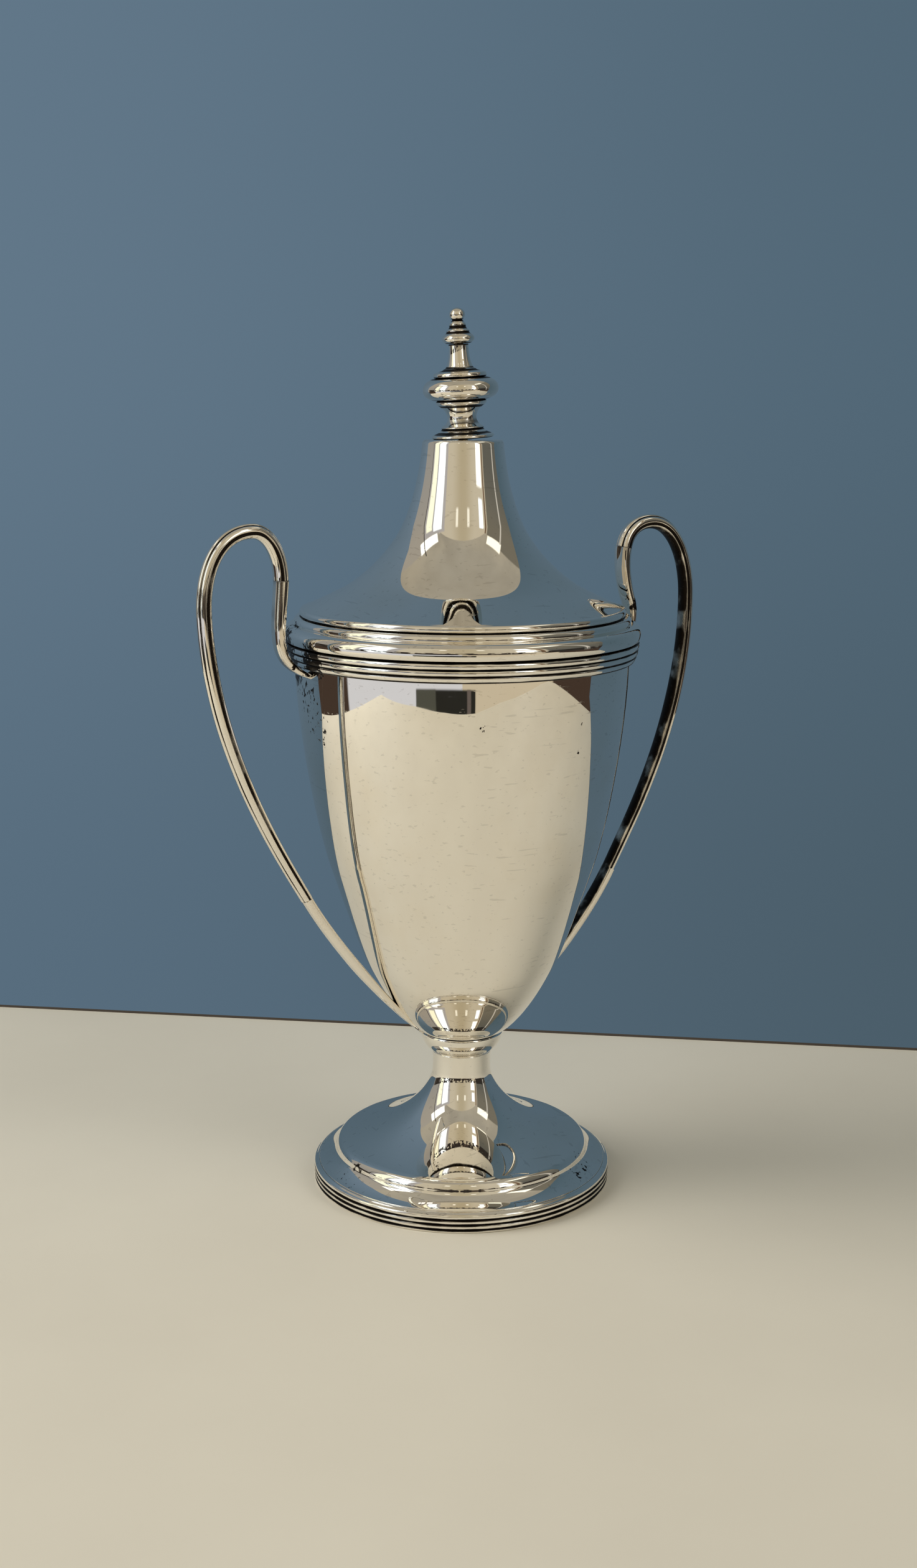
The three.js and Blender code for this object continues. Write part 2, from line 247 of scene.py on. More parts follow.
class Graph:
    """Short names for the shader nodes of one material or world."""

    def __init__(self, tree):
        self.nodes, self.links = tree.nodes, tree.links

    def put(self, socket, value):
        """Feeds a socket from another socket, a number, or a colour or vector."""
        if isinstance(value, tuple):
            socket.default_value = (*value, 1) if len(socket.default_value) == 4 else value
        elif isinstance(value, (int, float)):
            socket.default_value = value
        else:
            self.links.new(value, socket)

    def place(self, kind="Object"):
        return self.nodes.new("ShaderNodeTexCoord").outputs[kind]

    def calc(self, kind, a, b=0.0):
        node = self.nodes.new("ShaderNodeMath")
        node.operation = kind
        self.put(node.inputs[0], a)
        self.put(node.inputs[1], b)
        return node.outputs["Value"]

    def vector_calc(self, kind, vector, other):
        node = self.nodes.new("ShaderNodeVectorMath")
        node.operation = kind
        self.put(node.inputs[0], vector)
        self.put(node.inputs[1], tuple(other))
        return node.outputs["Value"]

    def dot(self, vector, direction):
        return self.vector_calc("DOT_PRODUCT", vector, direction)

    def step(self, value, low, high, out_low=0.0, out_high=1.0):
        """Rises smoothly from out_low to out_high as the value goes from low to high."""
        node = self.nodes.new("ShaderNodeMapRange")
        node.interpolation_type = "SMOOTHSTEP"
        self.put(node.inputs["From Min"], low)
        self.put(node.inputs["From Max"], high)
        self.put(node.inputs["To Min"], out_low)
        self.put(node.inputs["To Max"], out_high)
        self.put(node.inputs["Value"], value)
        return node.outputs["Result"]

    def blend(self, factor, a, b):
        node = self.nodes.new("ShaderNodeMix")
        node.data_type = "RGBA"
        self.put(node.inputs["Factor"], factor)
        self.put(node.inputs["A"], a)
        self.put(node.inputs["B"], b)
        return node.outputs["Result"]

    def noise(self, vector, scale, detail=3, roughness=0.5):
        node = self.nodes.new("ShaderNodeTexNoise")
        self.put(node.inputs["Vector"], vector)
        self.put(node.inputs["Scale"], scale)
        self.put(node.inputs["Detail"], detail)
        self.put(node.inputs["Roughness"], roughness)
        return node.outputs["Fac"]

    def stretched(self, vector, scale, turn):
        node = self.nodes.new("ShaderNodeMapping")
        self.put(node.inputs["Vector"], vector)
        self.put(node.inputs["Scale"], scale)
        self.put(node.inputs["Rotation"], turn)
        return node.outputs["Vector"]

    def bump(self, height, distance, strength):
        """A bump node, whose Normal input takes the bumps beneath this one."""
        node = self.nodes.new("ShaderNodeBump")
        self.put(node.inputs["Height"], height)
        self.put(node.inputs["Distance"], distance)
        self.put(node.inputs["Strength"], strength)
        return node

    def patch(self, around, above, left, right, bottom, top, edge):
        """1 inside a rectangle of azimuths and elevations, falling to 0 over its soft edge."""
        columns = self.calc(
            "MULTIPLY", self.step(around, left, left + edge), self.step(around, right, right - edge)
        )
        rows = self.calc(
            "MULTIPLY", self.step(above, bottom, bottom + edge), self.step(above, top, top - edge)
        )
        return self.calc("MULTIPLY", columns, rows)


def surface_material(name, metallic=0.0):
    """A material, its graph, and its Principled shader."""
    material = bpy.data.materials.new(name)
    material.use_nodes = True
    bsdf = material.node_tree.nodes["Principled BSDF"]
    bsdf.inputs["Metallic"].default_value = metallic
    return material, Graph(material.node_tree), bsdf


def glow_material(name):
    """A material that only shines, its graph, and the socket of its colour."""
    material, g, bsdf = surface_material(name)
    g.nodes.remove(bsdf)
    emission = g.nodes.new("ShaderNodeEmission")
    g.put(g.nodes["Material Output"].inputs["Surface"], emission.outputs["Emission"])
    return material, g, emission.inputs["Color"]


# Black tarnish left in patches: centre and radius in millimetres, and how far it has spread.
SOOT = (
    ((-57, 15, 187.5), 16, 1.5),
    ((-58.5, -7, 188), 9, 1.4),
    ((58, 0, 186), 8, 0.9),
    ((66, -2.5, 200), 4.5, 0.8),
    ((-56, 2, 174), 12, 0.62),
    ((-55, -5, 165), 8, 0.5),
    ((27, -37, 10), 9, 0.55),
    ((-45, -6, 10), 9, 0.5),
    ((-20.3, -51.8, 170), 1.8, 0.62),
    ((14.8, -53.6, 169.1), 1.8, 0.9),
    ((14.3, -52.8, 160.5), 1.5, 0.9),
    ((-16, -2, 56), 5, 0.7),
    ((16, 2, 56), 5, 0.7),
)
TARNISH = (0.02, 0.015, 0.012)
SPECK = (0.03, 0.024, 0.02)
HAIRLINE = (0.2, 0.17, 0.14)
FILM_TINT = (0.965, 0.94, 0.90)
SMOOTHEST = 0.012
RIPPLE_HEIGHT = 0.22 * MM
HAIRLINE_DEPTH = 0.006 * MM


def soot(g, place, dark, crumbs):
    """Adds the patches of crumbly black to the tarnish of the grooves."""
    for centre, radius, strength in SOOT:
        gap = g.vector_calc("DISTANCE", place, [c * MM for c in centre])
        close = g.step(gap, radius * MM, radius * 0.35 * MM)
        crust = g.step(g.calc("ADD", crumbs, g.calc("MULTIPLY", close, 0.22 * strength)), 0.69, 0.73)
        dark = g.calc("MAXIMUM", dark, g.calc("MULTIPLY", crust, g.step(close, 0.0, 0.15)))
    return dark


def silver(name, tint, worn, speckle, scratches):
    """Polished sterling: a mirror with soft ripples, hairlines, finger haze, and tarnish in the hollows."""
    material, g, bsdf = surface_material(name, metallic=1.0)
    place = g.place()
    grime = g.nodes.new("ShaderNodeAttribute")
    grime.attribute_name = "grime"

    patchy = g.step(g.noise(place, 90, 4), 0.3, 0.7, 0.6, 1.15)
    dark = g.step(g.calc("MULTIPLY", grime.outputs["Fac"], patchy), 0.42, 0.9)
    dark = soot(g, place, dark, g.noise(place, 520, 3, 0.65))
    film = g.step(g.noise(place, 28, 5, 0.6), 0.42, 0.78)
    specks = g.calc(
        "MULTIPLY",
        g.step(g.noise(place, 620, 2, 0.6), 0.735, 0.78),
        g.step(g.noise(place, 34, 2), 0.56, 0.66),
    )
    specks = g.calc("MULTIPLY", specks, speckle)
    one_way = g.noise(g.stretched(place, (0.4, 9, 14), (0.3, 0.2, 0.5)), 60, 2)
    other_way = g.noise(g.stretched(place, (10, 0.5, 15), (0.1, 0.4, -0.4)), 60, 2)
    hairs = g.calc("MAXIMUM", g.step(one_way, 0.655, 0.70), g.step(other_way, 0.665, 0.71))

    tone = g.blend(film, tint, tuple(c * k for c, k in zip(tint, FILM_TINT)))
    tone = g.blend(dark, tone, TARNISH)
    tone = g.blend(specks, tone, SPECK)
    tone = g.blend(g.calc("MULTIPLY", hairs, scratches), tone, HAIRLINE)
    g.put(bsdf.inputs["Base Color"], tone)

    rough = g.step(g.noise(place, 46, 6, 0.65), 0.35, 0.8, SMOOTHEST, SMOOTHEST + 0.05 * worn)
    rough = g.calc("ADD", rough, g.calc("MULTIPLY", hairs, 0.3 * scratches))
    rough = g.calc("ADD", rough, g.calc("MULTIPLY", dark, 0.42))
    g.put(bsdf.inputs["Roughness"], rough)

    ripple = g.bump(g.noise(place, 26, 2), RIPPLE_HEIGHT * worn, 1.0)
    fine = g.bump(g.calc("SUBTRACT", 0.0, hairs), HAIRLINE_DEPTH, 0.6 * scratches)
    g.put(fine.inputs["Normal"], ripple.outputs["Normal"])
    g.put(bsdf.inputs["Normal"], fine.outputs["Normal"])
    return material


def brass_finish():
    """Dull brass with a fine mottle."""
    material, g, bsdf = surface_material("dull_brass", metallic=1.0)
    mottle = g.noise(g.place("Generated"), 300, 4)
    g.put(bsdf.inputs["Base Color"], g.blend(mottle, (0.32, 0.2, 0.08), (0.72, 0.52, 0.24)))
    g.put(bsdf.inputs["Roughness"], g.calc("ADD", 0.25, g.calc("MULTIPLY", mottle, 0.25)))
    return material


FINISHES = {
    "polished_silver": silver("bright_silver", (0.955, 0.925, 0.87), 0.5, 0.35, 0.17),
    "worn_silver": silver("handled_silver", (0.94, 0.90, 0.83), 0.8, 0.25, 0.08),
    "brass_fittings": brass_finish(),
}

# ---- heights where the parts meet, in millimetres ----

NECK_TOP = 46.1
COLLAR_TOP = 53.75
BOWL_BOTTOM = 53.8
MOUTH = 191.3
COVER_SEAT = 191.6
COVER_TOP = 257.6

# ---- foot ----


def reeds(heights, radii, bulge):
    """Round beads between grooves at these heights and radii, from bottom to top."""
    return [("arc", radii[i], heights[i], bulge) for i in range(len(heights))]


FOOT_GROOVE = 51.65
lathe(
    "foot_reeded_rim",
    soften(
        trace(
            (48.9, 0),
            [
                (FOOT_GROOVE - 0.1, 0),
                *reeds((1.15, 2.9, 4.6, 6.3), (FOOT_GROOVE,) * 4, 0.62),
                (51.0, 6.9),
                (50.5, 6.9),
                (50.5, 5.7),
                (48.9, 5.7),
                (48.9, 0),
            ],
            0.2,
        ),
        0.15,
    ),
    "foot_rim",
    soil=1.4,
    seams=(1.15, 2.9, 4.6),
    blackened=0.4,
)

foot_outer = trace(
    (50.55, 7.15),
    [
        (49.0, 7.5, 47.2, 8.35, 45.6, 9.7),
        (44.9, 10.3, 44.55, 10.7, 44.45, 11.3),
        (44.3, 12.9, 43.3, 14.2, 41.9, 14.45),
        (41.5, 14.6),
        (24, 18, 10.6, 30, 10.2, 39.8),
        (10.15, 43.2, 10.2, 44.4, 10.5, NECK_TOP),
    ],
)
lathe("foot_trumpet", soften(shell(foot_outer)), "foot", soil=0.25)

# ---- bowl ----

lathe(
    "stem_collar_bead",
    soften(
        trace(
            (0, NECK_TOP),
            [
                (10.3, NECK_TOP),
                (12.4, 47.4, 14, 49.8, 14.25, 52.3),
                (14.3, 53.2, 14.1, 53.6, 13.6, COLLAR_TOP),
                (0, COLLAR_TOP),
            ],
            0.3,
        ),
        closed=False,
    ),
    "stem_collar",
    segments=128,
    seams=(BOWL_BOTTOM,),
)

bowl_outer = trace(
    (0, BOWL_BOTTOM),
    [
        (14.4, BOWL_BOTTOM),
        (21.6, 58.2, 28.9, 70.9, 32.2, 77.4),
        (35.6, 84.2, 41.0, 100.5, 45.5, 114),
        (50.4, 129.5, 56.3, 163, 56.6, 184.6),
        (56.6, MOUTH),
    ],
    0.9,
)
lathe(
    "bowl_body",
    soften(shell(bowl_outer), closed=False),
    "bowl",
    segments=WIDE_SEGMENTS,
    seams=(BOWL_BOTTOM,),
)

lathe(
    "mouth_reeded_band",
    soften(
        trace(
            (56.65, 184.8),
            [
                (57.2, 184.8),
                *reeds((187.0, 189.15, MOUTH), (58.4, 58.75, 59.1), 0.7),
                (56.65, 191.4),
                (56.65, 184.8),
            ],
            0.2,
        ),
        0.15,
    ),
    "rim_band",
    segments=WIDE_SEGMENTS,
    soil=1.4,
    seams=(184.95, 187.0, 189.15, 191.4),
)

# ---- cover ----

cover_outer = trace(
    (56.3, COVER_SEAT),
    [
        (56.4, 197.1),
        (56.8, 197.7, 56.7, 198.9, 56.1, 199.4),
        (55.8, 199.7, 55.2, 199.65, 54.4, 199.7),
        (54.1, 199.85),
        (54.9, 200.1, 55.0, 201.5, 54.5, 202.0),
        (54.3, 202.3, 53.9, 202.35, 53.5, 202.4),
        (49.6, 203.98, 44.3, 206.43, 40.3, 208.6),
        (33.2, 212.45, 23.6, 221.6, 19.8, 230.5),
        (15.4, 240.5, 14.2, 250, 13.5, 256.7),
        (13.2, 257.4, 12.9, COVER_TOP, 12.4, COVER_TOP),
        (3, COVER_TOP),
    ],
    0.5,
)
lathe("cover_dome", soften(shell(cover_outer)), "cover_shell", "cover", segments=WIDE_SEGMENTS, soil=1.7)

lathe(
    "cover_torus_rim",
    soften(
        trace(
            (56.4, COVER_SEAT),
            [
                (58.9, COVER_SEAT),
                (59.9, 191.9, 60.1, 193.0, 60.1, 194.2),
                (60.1, 196.0, 58.9, 197.1, 57.0, 197.2),
                (56.4, 197.15),
                (56.4, COVER_SEAT),
            ],
            0.25,
        ),
        0.12,
    ),
    "cover_rim",
    "cover",
    segments=WIDE_SEGMENTS,
)

lathe(
    "cover_bezel_sleeve",
    soften(
        trace(
            (53.9, 184),
            [(54.1, 184), (54.5, 185), (54.2, 196.7), (53.2, 196.7), (53.5, 185), (53.9, 184)],
            0.5,
        ),
        0.15,
    ),
    "cover_bezel",
    "cover",
    segments=192,
)

# ---- finial: heights count up from the cover's flat top, and the stack leans towards the -X handle ----

lean = Matrix.Translation((0, 0, COVER_TOP)) @ Matrix.Rotation(math.radians(-3.4), 4, "Y")
BORE = 1.9


def turned(name, start, steps, node, seams, closed=True, radius=0.18):
    """One turned part of the leaning finial."""
    outline = soften(trace(start, steps, 0.25), radius, closed=closed)
    lathe(name, outline, node, "cover", "worn_silver", 96, lean, 1.5, seams)


turned(
    "finial_flange",
    (BORE, 0.55),
    [
        (9.6, 0.55),
        (10.3, 0.7, 10.5, 1.2, 10.1, 1.6),
        (8.6, 2.3, 7.8, 2.2, 6.9, 3.5),
        (BORE, 3.5),
        (BORE, 0.55),
    ],
    "finial_base",
    (0.5, 2.2, 3.5),
)
turned(
    "finial_waist",
    (BORE, 3.55),
    [
        (6.9, 3.55),
        (7.1, 3.9, 6.9, 4.3, 6.3, 4.6),
        (5.1, 5.3, 4.7, 6.2, 4.8, 7.4),
        (5.0, 9.4, 6.6, 10.5, 7.6, 11.2),
        (8.5, 11.5, 8.6, 12.3, 8.0, 12.8),
        (BORE, 12.8),
        (BORE, 3.55),
    ],
    "finial_spool",
    (3.55, 10.9, 12.8),
)
turned(
    "finial_bulb",
    (BORE, 12.9),
    [
        (7.4, 12.9),
        (10.8, 12.9, 12.5, 14.4, 12.5, 16.3),
        (12.5, 18.2, 10.9, 19.8, 8.2, 20.0),
        (BORE, 20.0),
        (BORE, 12.9),
    ],
    "finial_knop",
    (12.9, 20.0),
)
turned(
    "finial_stem",
    (BORE, 20.1),
    [
        (8.3, 20.1),
        (8.9, 20.3, 8.9, 21.2, 8.5, 21.7),
        (7.0, 22.1, 5.9, 22.2, 5.4, 22.7),
        (4.6, 23.1, 4.4, 23.3, 4.3, 23.8),
        (3.6, 25.2, 3.2, 27.6, 3.25, 30.75),
        (BORE, 30.75),
        (BORE, 20.1),
    ],
    "finial_spindle",
    (20.1, 22.5, 30.75),
)
turned(
    "finial_top",
    (0, 34.4),
    [
        (BORE, 34.4),
        (BORE, 30.85),
        (3.9, 30.95),
        (5.8, 31.8, 5.8, 33.2, 3.9, 34.2),
        (3.7, 34.5),
        (3.8, 35.1),
        (2.9, 35.8),
        (2.7, 36.2),
        (2.75, 37.2),
        (2.2, 37.8),
        (1.6, 38.5),
        (3.1, 39.1, 3.2, 42.1, 0, 42.4),
    ],
    "finial_tip",
    (30.85, 34.4, 36.3, 38.4),
    closed=False,
    radius=0.12,
)

# The fittings inside the cover keep their CAD shapes.
for node in ("finial_stud", "finial_washer", "finial_nut"):
    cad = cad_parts[node]
    cad.data.materials.clear()
    cad.data.materials.append(FINISHES["brass_fittings"])

# ---- handles: in a section, x points away from the loop and y across the strap ----

# The grooves between the reeds: where they lie in the section, and how far their black spreads.
REED_GROOVES = ((1.55, 1.3, 0.5), (-0.5, 2.75, 0.62))


def reeded_section():
    """A strap like a bundle of reeds: one outside, one along each side, and a rounded back."""
    (ax, ay, _), (bx, by, _) = REED_GROOVES
    half = trace(
        (2.45, 0),
        [
            (2.45, 0.75, 2.25, 1.25, ax, ay),
            (2.15, 1.9, 1.2, 3.35, bx, by),
            (-1.3, 3.05, -2.45, 2.2, -2.45, 0),
        ],
        0.16,
    )
    return half + [(x, -y) for x, y in half[-2:0:-1]]


def flatten(value, power):
    """A power that keeps the sign, which squares off an oval."""
    return math.copysign(abs(value) ** power, value)


def oval_section(count=48):
    """A plain bar, broader than it is thick, with its corners rounded."""
    angles = [2 * math.pi * i / count for i in range(count)]
    return [(2.1 * flatten(math.cos(a), 0.5), 3.15 * flatten(math.sin(a), 0.8)) for a in angles]


def path_points(start, curves, spacing=0.8):
    """A path through cubic curves, each of six numbers."""
    points = [start]
    for curve in curves:
        here = points[-1]
        p1, p2, p3 = curve[0:2], curve[2:4], curve[4:6]
        length = math.dist(here, p1) + math.dist(p1, p2) + math.dist(p2, p3)
        points += bezier(here, p1, p2, p3, max(6, round(length / spacing)))
    return points


# How far the black of a splice spreads along the handle, in millimetres.
END_REACH = 0.5


def sweep(name, section, path, thickness, width, side, node, end_grime, inner_darkening, twist, grooves=()):
    """Runs a section along a path in the XZ plane.

    thickness and width scale it at each share of the way, and twist turns it, in degrees. The end grime is
    the black at its two ends; the face towards the loop is also made darker, besides the grooves."""
    n, m = len(path), len(section)
    depth = hollows([(y, x) for x, y in section][::-1], 0.6)[::-1]
    lengths = [0.0]
    for a, b in zip(path, path[1:]):
        lengths.append(lengths[-1] + math.dist(a, b))
    verts, grime = [], []
    for i, (x, z) in enumerate(path):
        a, b = path[max(i - 1, 0)], path[min(i + 1, n - 1)]
        run = math.dist(a, b)
        tx, tz = (b[0] - a[0]) / run, (b[1] - a[1]) / run
        share = lengths[i] / lengths[-1]
        turn = math.radians(twist(share))
        ends = (
            math.exp(-lengths[i] / END_REACH) * end_grime[0],
            math.exp((lengths[i] - lengths[-1]) / END_REACH) * end_grime[1],
        )
        for j, (u, v) in enumerate(section):
            flat, wide = u * thickness(share), v * width(share)
            out = flat * math.cos(turn) - wide * math.sin(turn)
            cross = wide * math.cos(turn) + flat * math.sin(turn)
            verts.append((side * (x + out * tz), side * cross, z - out * tx))
            # The face towards the loop is made darker, in the same black as the tarnish.
            inner = inner_darkening * max(0.0, min(1.0, (-0.4 - u) / 1.4))
            lines = [
                BLACKEST * math.exp(-((math.dist((u, abs(v)), (gu, gv)) / reach) ** 4))
                for gu, gv, reach in grooves
            ]
            grime.append(min(BLACKEST, max(depth[j] * 1.6, inner, *lines, *ends)))
    faces = []
    for i in range(n - 1):
        for j in range(m):
            k = (j + 1) % m
            faces.append((i * m + j, i * m + k, (i + 1) * m + k, (i + 1) * m + j))
    faces.append(tuple(range(m))[::-1])
    faces.append(tuple((n - 1) * m + j for j in range(m)))
    mesh_piece(name, verts, faces, grime, "cup", "worn_silver", node, sharp=50)


def lerp(a, b, t):
    """From a to b as t goes from 0 to 1, and no further."""
    return a + (b - a) * max(0.0, min(1.0, t))


# Both handles start under the bowl and end below the mouth band, at these (x, z).
HANDLE_START = (14.8, 54.4)
HANDLE_END = (54.8, 181.9)
# Each curve of a handle has two guiding points and its end. The twist in degrees is of the upper arm.
HANDLES = {
    "left": {
        "side": -1,
        "lower": [(27.2, 64.3, 48.2, 89.8, 58.5, 107.9)],
        "strap": [
            (67.5, 123.7, 90.2, 160, 91.9, 203),
            (92.5, 219, 86.2, 230.1, 75.2, 229.9),
            (69.6, 229.8, 65.6, 222.6, 65.6, 214),
        ],
        "upper": [(65.9, 207.5, 67.0, 201, 66.7, 195), (66.4, 188, 61.8, 184.2, *HANDLE_END)],
        # How much darker the face towards the loop is made, on the strap and on the upper arm.
        "inner_darkening": 0.35,
        "upper_inner_darkening": 0.62,
        "upper_thickness": 1.0,
        "twist": 0,
    },
    "right": {
        "side": 1,
        "lower": [(27.5, 64.5, 50, 86.8, 59.7, 104.9)],
        "strap": [
            (69.7, 123.5, 91.4, 158, 90.4, 203),
            (90, 216.5, 84.2, 228.4, 74.2, 228.6),
            (68.5, 228.8, 64.6, 225.2, 63.6, 220),
        ],
        "upper": [(62.8, 215.5, 63.3, 208.5, 65.8, 201.5), (67.8, 195.6, 67.0, 186.2, *HANDLE_END)],
        "inner_darkening": 1.05,
        "upper_inner_darkening": 0.5,
        "upper_thickness": 0.85,
        "twist": -10,
    },
}
for word, shape in HANDLES.items():
    lower_splice, upper_splice = shape["lower"][-1][-2:], shape["strap"][-1][-2:]
    sweep(
        f"handle_{word}_lower_plain",
        oval_section(),
        path_points(HANDLE_START, shape["lower"]),
        lambda s: lerp(0.36, 0.82, s * 1.9),
        lambda s: lerp(0.13, 0.9, min(s * 2, 1) ** 0.6),
        shape["side"],
        f"handle_{word}_lower_end",
        (0.9, 0.7),
        shape["inner_darkening"],
        lambda s: 0.0,
    )
    sweep(
        f"handle_{word}_reeded",
        reeded_section(),
        path_points(lower_splice, shape["strap"]),
        lambda s: lerp(0.8, 1.02, s * 2.4),
        lambda s: lerp(0.88, 1.0, s * 2.4),
        shape["side"],
        f"handle_{word}_strap",
        (0.6, 0.6),
        shape["inner_darkening"],
        lambda s: shape["twist"] * lerp(0.0, 1.0, (s - 0.84) / 0.16),
        REED_GROOVES,
    )
    sweep(
        f"handle_{word}_upper_plain",
        oval_section(),
        path_points(upper_splice, shape["upper"]),
        lambda s: lerp(1.0, shape["upper_thickness"], s * 8) * lerp(1.0, 0.34, s * s),
        lambda s: 1.0 - 0.27 * s**3,
        shape["side"],
        f"handle_{word}_upper_end",
        (0.7, 1.0),
        shape["upper_inner_darkening"],
        lambda s: shape["twist"] * lerp(1.0, 0.6, s),
    )

# ---- camera ----


def make_camera():
    """Looks down a little on the cup, from in front of it and to its left."""
    azimuth, pitch, roll = (math.radians(angle) for angle in (-27.785, -11.795, 0.123))
    data = bpy.data.cameras.new("camera")
    data.lens = 43.41
    data.sensor_width = 36
    data.clip_start = 0.02
    camera = bpy.data.objects.new("camera", data)
    scene.collection.objects.link(camera)
    flat = math.cos(pitch)
    forward = Vector((-math.sin(azimuth) * flat, math.cos(azimuth) * flat, math.sin(pitch)))
    level = forward.cross(Vector((0, 0, 1))).normalized()
    right = level * math.cos(roll) + level.cross(forward) * math.sin(roll)
    turned_to = Matrix((right, right.cross(forward), -forward)).transposed().to_4x4()
    camera.matrix_world = Matrix.Translation((-0.29704, -0.561, 0.27387)) @ turned_to
    scene.camera = camera


make_camera()

# ---- stage: a pale table in front of a blue-grey wall, with soft window light from the front ----

AWAY = Vector((math.sin(math.radians(27.9)), math.cos(math.radians(27.9)), 0))
ACROSS = Vector((AWAY.y, -AWAY.x, 0))
UP = Vector((0, 0, 1))
WALL_TURN = math.tan(math.radians(7.7))
WALL_AWAY = 0.153
FAR = 2.4
FLOOR_RIGHT = 1.1


def spot(across, away, height):
    """A point in the room, in metres from the foot's centre as the camera sees it."""
    return ACROSS * across + AWAY * away + UP * height


def wall_line(across):
    """How far away the wall meets the table."""
    return WALL_AWAY - across * WALL_TURN


def wall_spot(across, forward, height):
    """A point this far in front of the wall."""
    return spot(across, wall_line(across) - forward, height)


def flat_stage(name, corners, material):
    """One flat face of the stage."""
    mesh = bpy.data.meshes.new(name)
    mesh.from_pydata([tuple(c) for c in corners], [], [tuple(range(len(corners)))])
    mesh.materials.append(material)
    obj = bpy.data.objects.new(name, mesh)
    scene.collection.objects.link(obj)
    return obj


# The edge of the table on the camera's side, as across and away in metres.
TABLE_EDGE = [(-0.66, -0.47), (-0.35, -0.57), (-0.12, -0.605), (0.09, -0.605), (0.29, -0.65), (0.98, -0.62)]
# Its corners against the wall.
TABLE_LEFT = -0.64
TABLE_RIGHT = 0.66
# The floor lies just below the table's top.
FLOOR_LEVEL = -0.0003
# The height of the dark strip of painted shade in the gap where the wall meets the table.
JUNCTION_SHADE_HEIGHT = 0.0011


def floor_finish():
    """Paint with a faint mottle between two creams."""
    material, g, bsdf = surface_material("pale_floor")
    g.put(bsdf.inputs["Roughness"], 0.55)
    g.put(bsdf.inputs["Specular IOR Level"], 0.25)
    mottle = g.calc("MULTIPLY", g.calc("SUBTRACT", g.noise(g.place(), 9, 8), 0.3), 2.5)
    g.put(bsdf.inputs["Base Color"], g.blend(mottle, (0.705, 0.66, 0.555), (0.745, 0.70, 0.59)))
    return material


def make_table():
    """The silver mirrors a table of real size. A wider floor fills the rest of the view."""
    finish = floor_finish()
    edge = [spot(x, y, 0) for x, y in TABLE_EDGE]
    flat_stage("table_top", edge + [wall_spot(x, 0, 0) for x in (TABLE_RIGHT, TABLE_LEFT)], finish)
    front = [spot(x, -FAR, FLOOR_LEVEL) for x in (-FAR, FLOOR_RIGHT)]
    floor = flat_stage("floor", front + [wall_spot(x, 0, FLOOR_LEVEL) for x in (FLOOR_RIGHT, -FAR)], finish)
    floor.visible_glossy = False


def make_painted_junction_shade():
    """A dark strip of painted shade in the gap where the wall meets the table."""
    material, g, bsdf = surface_material("painted_junction_shade")
    # painted shade: a near-black brown standing in for the shadow in the gap
    g.put(bsdf.inputs["Base Color"], (0.075, 0.062, 0.052))
    g.put(bsdf.inputs["Roughness"], 0.9)
    corners = ((-FAR, 0), (FLOOR_RIGHT, 0), (FLOOR_RIGHT, JUNCTION_SHADE_HEIGHT), (-FAR, JUNCTION_SHADE_HEIGHT))
    flat_stage("painted_junction_shade", [wall_spot(x, 0.0002, z) for x, z in corners], material)


# The blue-grey board behind the cup. Its outline in metres: along the board, and height above the table.
BOARD = [
    (-0.62, 0), (0.80, 0), (0.66, 0.32), (0.52, 0.385), (0.39, 0.43), (0.31, 0.51),
    (0.19, 0.58), (0.06, 0.625), (-0.48, 0.64), (-0.48, 0.14), (-0.62, 0.12),
]


def make_board():
    """A glowing card that the silver mirrors behind the cup, its glow painted light. The camera sees the
    world's wall instead.
    """
    material, g, colour = glow_material("blue_board_painted_light")
    place = g.place()
    across, height = g.dot(place, ACROSS), g.dot(place, UP)
    # painted light: the card is lighter to the left, where the window light falls, and painted shade makes it
    # darker near the table
    tone = g.blend(g.step(across, -0.5, 0.45), (0.145, 0.205, 0.27), (0.075, 0.12, 0.155))
    tone = g.blend(g.step(height, 0.3, 0.0), tone, (0.085, 0.13, 0.17))
    g.put(colour, tone)
    board = flat_stage("blue_board_painted_light", [wall_spot(x, 0, z - 0.001) for x, z in BOARD], material)
    board.visible_camera = False


# What the room shows by direction from the cup: left, right, bottom, top and soft edge in degrees, and
# colour. Azimuth is 0 away from the camera and -90 to its left.
ROOM_PATCHES = (
    # a wide window on the left, in a pale frame with one dark post, and its top light
    (-140, -91, -8, 50, 3, (0.42, 0.40, 0.39)),
    (-133, -112, -6, 46, 2, (1.25, 1.36, 1.42)),
    (-111, -96, -6, 44, 2, (1.12, 1.12, 0.86)),
    (-122, -84, 47.5, 57, 1.5, (1.5, 1.5, 1.42)),
    (-93.5, -91, -8, 60, 0.8, (0.05, 0.045, 0.04)),
    # narrower windows on the right, between a brown post and a pale one
    (127, 131, 0, 50, 1, (0.16, 0.10, 0.06)),
    (132, 147, 4, 27, 2, (1.5, 1.5, 1.42)),
    (133, 144, 30, 46, 2, (1.3, 1.4, 1.5)),
    (92, 124, 50, 59, 1.5, (1.35, 1.3, 1.1)),
    (93, 97, -4, 52, 1, (0.55, 0.52, 0.46)),
    # two small lamps high up
    (-170, -163, 36, 47, 2, (1.0, 0.95, 0.8)),
    (164, 171, 36, 47, 2, (1.0, 0.95, 0.8)),
    # low dark furniture
    (-178, -150, -6, 5, 1, (0.055, 0.042, 0.034)),
    (150, 176, -6, 3, 1, (0.07, 0.05, 0.036)),
    (98, 124, -6, 12, 1, (0.03, 0.028, 0.024)),
    (-92, -70, -6, 9, 1, (0.05, 0.042, 0.034)),
)
